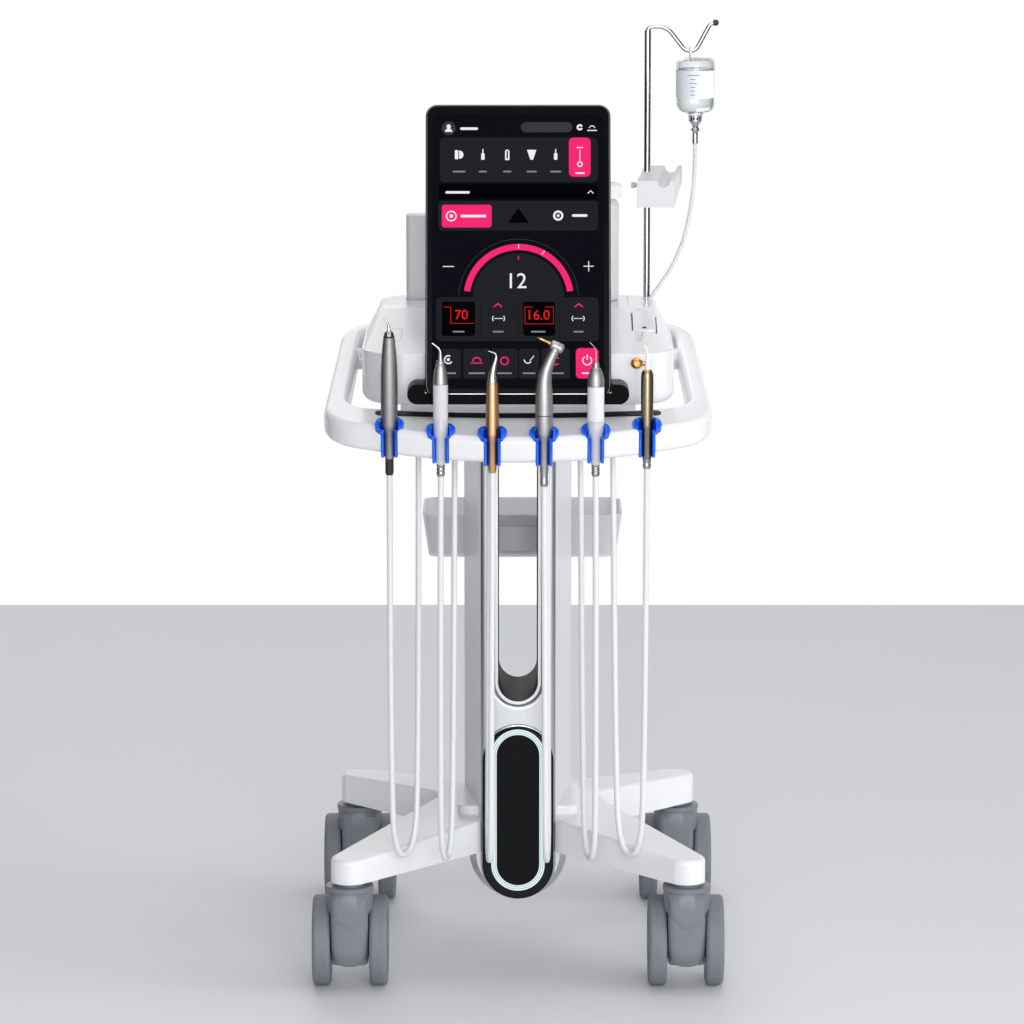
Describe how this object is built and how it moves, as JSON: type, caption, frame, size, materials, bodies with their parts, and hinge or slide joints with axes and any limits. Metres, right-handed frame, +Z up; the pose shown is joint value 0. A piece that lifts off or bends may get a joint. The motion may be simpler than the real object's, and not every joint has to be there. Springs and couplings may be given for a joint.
{
  "type": "mobile dental treatment cart",
  "caption": "Wheeled dental cart: column on a caster base, tilted ring console with hanging handpieces on hoses, tilting touch screen, drip pole with bottle, and rear bin.",
  "frame": {"origin": "on the floor, under the middle of the caster footprint", "axes": "+Z up, -Y towards the user in front of the screen, +X to the right as seen from the front"},
  "size_m": [0.454, 0.47, 1.0454],
  "materials": {
    "white_shell": "moulded, glossy",
    "base_white": "powder coated, satin",
    "column_grey": "satin",
    "column_silver": "satin anodised",
    "slot_black": "fine matt",
    "bezel_black": "glossy",
    "light_ring": "diffusing",
    "panel_black": "woven texture",
    "caster_grey": "moulded",
    "caster_tread": "smooth tread",
    "steel": "turned",
    "chrome": "polished",
    "clip_blue": "moulded",
    "strip_black": "soft inlay",
    "hose_white": "silicone",
    "grip_silver": "satin",
    "grip_white": "glossy",
    "grip_copper": "satin",
    "grip_champagne": "satin",
    "grip_steel": "satin",
    "tip_white": "moulded",
    "valve_brass": "polished",
    "screen_body": "satin",
    "screen_glass": "glossy black",
    "cradle_black": "fine matt",
    "bin_clear": "translucent",
    "tank_frost": "frosted",
    "bottle_clear": "clear",
    "tube_clear": "clear silicone",
    "unit_grey": "plain"
  },
  "bodies": {
    "cart": {"base_frame": "base_white", "column_core": "column_grey", "column_front": "column_silver", "slot_liner": "slot_black", "panel_bezel": "bezel_black", "light_ring": "light_ring", "front_panel": "panel_black", "power_supply": "unit_grey", "rear_sockets": "cradle_black", "caster_stems": "steel", "console_ring": "white_shell", "deck_strip": "strip_black", "handpiece_clips": "clip_blue", "hose_scaler": "hose_white", "hose_syringe": "hose_white", "hose_plugger": "hose_white", "hose_contra": "hose_white", "hose_injector": "hose_white", "hose_laser": "hose_white", "drip_tube": "tube_clear", "console_underpan": "white_shell", "housing_lower": "white_shell", "housing_hood": "white_shell", "pump_motor": "unit_grey", "screen_cradle": "cradle_black", "screen_hinge": "steel", "drip_pole": "chrome"},
    "screen": {"screen_case": "screen_body", "screen_glass": "screen_glass"},
    "pump_door": {"pump_door": "white_shell"},
    "pump_rotor": {"pump_rotor": "cradle_black"},
    "flow_valve": {"flow_valve": "valve_brass"},
    "power_switch": {"power_switch": "cradle_black"},
    "pole_bracket": {"pole_bracket": "white_shell"},
    "drip_bottle": {"drip_bottle": "bottle_clear", "drip_connector": "steel"},
    "storage_bin": {"storage_bin": "bin_clear"},
    "rear_tank": {"rear_tank": "tank_frost"},
    "rear_bottle": {"rear_bottle": "tank_frost"},
    "caster_fl": {"caster_yoke_fl": "caster_grey"},
    "wheels_fl": {"caster_wheels_fl": "caster_tread"},
    "caster_fr": {"caster_yoke_fr": "caster_grey"},
    "wheels_fr": {"caster_wheels_fr": "caster_tread"},
    "caster_rl": {"caster_yoke_rl": "caster_grey"},
    "wheels_rl": {"caster_wheels_rl": "caster_tread"},
    "caster_rr": {"caster_yoke_rr": "caster_grey"},
    "wheels_rr": {"caster_wheels_rr": "caster_tread"},
    "handpiece_scaler": {"grip_scaler": "grip_silver", "tip_scaler": "steel"},
    "handpiece_syringe": {"grip_syringe": "grip_white", "tip_syringe": "steel"},
    "handpiece_plugger": {"grip_plugger": "grip_copper", "tip_plugger": "steel"},
    "handpiece_contra": {"grip_contra": "grip_steel", "tip_contra": "steel"},
    "handpiece_injector": {"grip_injector": "grip_white", "tip_injector": "steel"},
    "handpiece_laser": {"grip_laser": "grip_champagne", "tip_laser": "tip_white"}
  },
  "joints": [
    {"name": "swivel_fl", "type": "hinge", "parent": "cart", "child": "caster_fl", "pos_m": [-0.1855, -0.207, 0.11], "axis": [0, 0, 1], "continuous": true},
    {"name": "roll_fl", "type": "hinge", "parent": "caster_fl", "child": "wheels_fl", "pos_m": [-0.1855, -0.185, 0.05], "axis": [1, 0, 0], "continuous": true},
    {"name": "swivel_fr", "type": "hinge", "parent": "cart", "child": "caster_fr", "pos_m": [0.1855, -0.207, 0.11], "axis": [0, 0, 1], "continuous": true},
    {"name": "roll_fr", "type": "hinge", "parent": "caster_fr", "child": "wheels_fr", "pos_m": [0.1855, -0.185, 0.05], "axis": [1, 0, 0], "continuous": true},
    {"name": "swivel_rl", "type": "hinge", "parent": "cart", "child": "caster_rl", "pos_m": [-0.1855, 0.163, 0.11], "axis": [0, 0, 1], "continuous": true},
    {"name": "roll_rl", "type": "hinge", "parent": "caster_rl", "child": "wheels_rl", "pos_m": [-0.1855, 0.185, 0.05], "axis": [1, 0, 0], "continuous": true},
    {"name": "swivel_rr", "type": "hinge", "parent": "cart", "child": "caster_rr", "pos_m": [0.1855, 0.163, 0.11], "axis": [0, 0, 1], "continuous": true},
    {"name": "roll_rr", "type": "hinge", "parent": "caster_rr", "child": "wheels_rr", "pos_m": [0.1855, 0.185, 0.05], "axis": [1, 0, 0], "continuous": true},
    {"name": "lift_scaler", "type": "slide", "parent": "cart", "child": "handpiece_scaler", "axis": [0, 0, 1], "range_m": [0, 0.08], "deforming": ["hose_scaler"]},
    {"name": "lift_syringe", "type": "slide", "parent": "cart", "child": "handpiece_syringe", "axis": [0, 0, 1], "range_m": [0, 0.08], "deforming": ["hose_syringe"]},
    {"name": "lift_plugger", "type": "slide", "parent": "cart", "child": "handpiece_plugger", "axis": [0, 0, 1], "range_m": [0, 0.08], "deforming": ["hose_plugger"]},
    {"name": "lift_contra", "type": "slide", "parent": "cart", "child": "handpiece_contra", "axis": [0, 0, 1], "range_m": [0, 0.08], "deforming": ["hose_contra"]},
    {"name": "lift_injector", "type": "slide", "parent": "cart", "child": "handpiece_injector", "axis": [0, 0, 1], "range_m": [0, 0.08], "deforming": ["hose_injector"]},
    {"name": "lift_laser", "type": "slide", "parent": "cart", "child": "handpiece_laser", "axis": [0, 0, 1], "range_m": [0, 0.08], "deforming": ["hose_laser"]},
    {"name": "screen_tilt", "type": "hinge", "parent": "cart", "child": "screen", "pos_m": [0, -0.152, 0.658], "axis": [1, 0, 0], "range_deg": [0, 15]},
    {"name": "pump_door_lift", "type": "hinge", "parent": "cart", "child": "pump_door", "pos_m": [0.14, -0.02372, 0.72736], "axis": [-1, 0, 0], "range_deg": [0, 80]},
    {"name": "pump_spin", "type": "hinge", "parent": "cart", "child": "pump_rotor", "pos_m": [0.14, -0.048, 0.7], "axis": [0, 0, 1], "continuous": true},
    {"name": "valve_turn", "type": "hinge", "parent": "cart", "child": "flow_valve", "pos_m": [0.13, -0.131, 0.688], "axis": [0, 1, 0], "range_deg": [0, 90]},
    {"name": "power_rock", "type": "hinge", "parent": "cart", "child": "power_switch", "pos_m": [0, 0.048, 0.236], "axis": [1, 0, 0], "range_deg": [0, 14]},
    {"name": "bracket_slide", "type": "slide", "parent": "cart", "child": "pole_bracket", "axis": [0, 0, 1], "range_m": [-0.02, 0.04]},
    {"name": "bottle_swing", "type": "hinge", "parent": "cart", "child": "drip_bottle", "pos_m": [0.194, 0.078, 1.011], "axis": [1, 0, 0], "range_deg": [-20, 20], "deforming": ["drip_tube"]},
    {"name": "bin_lift", "type": "slide", "parent": "cart", "child": "storage_bin", "axis": [0, 0, 1], "range_m": [0, 0.06]},
    {"name": "tank_lift", "type": "slide", "parent": "cart", "child": "rear_tank", "axis": [0, 0, 1], "range_m": [0, 0.06]},
    {"name": "jar_lift", "type": "slide", "parent": "cart", "child": "rear_bottle", "axis": [0, 0, 1], "range_m": [0, 0.06]}
  ]
}
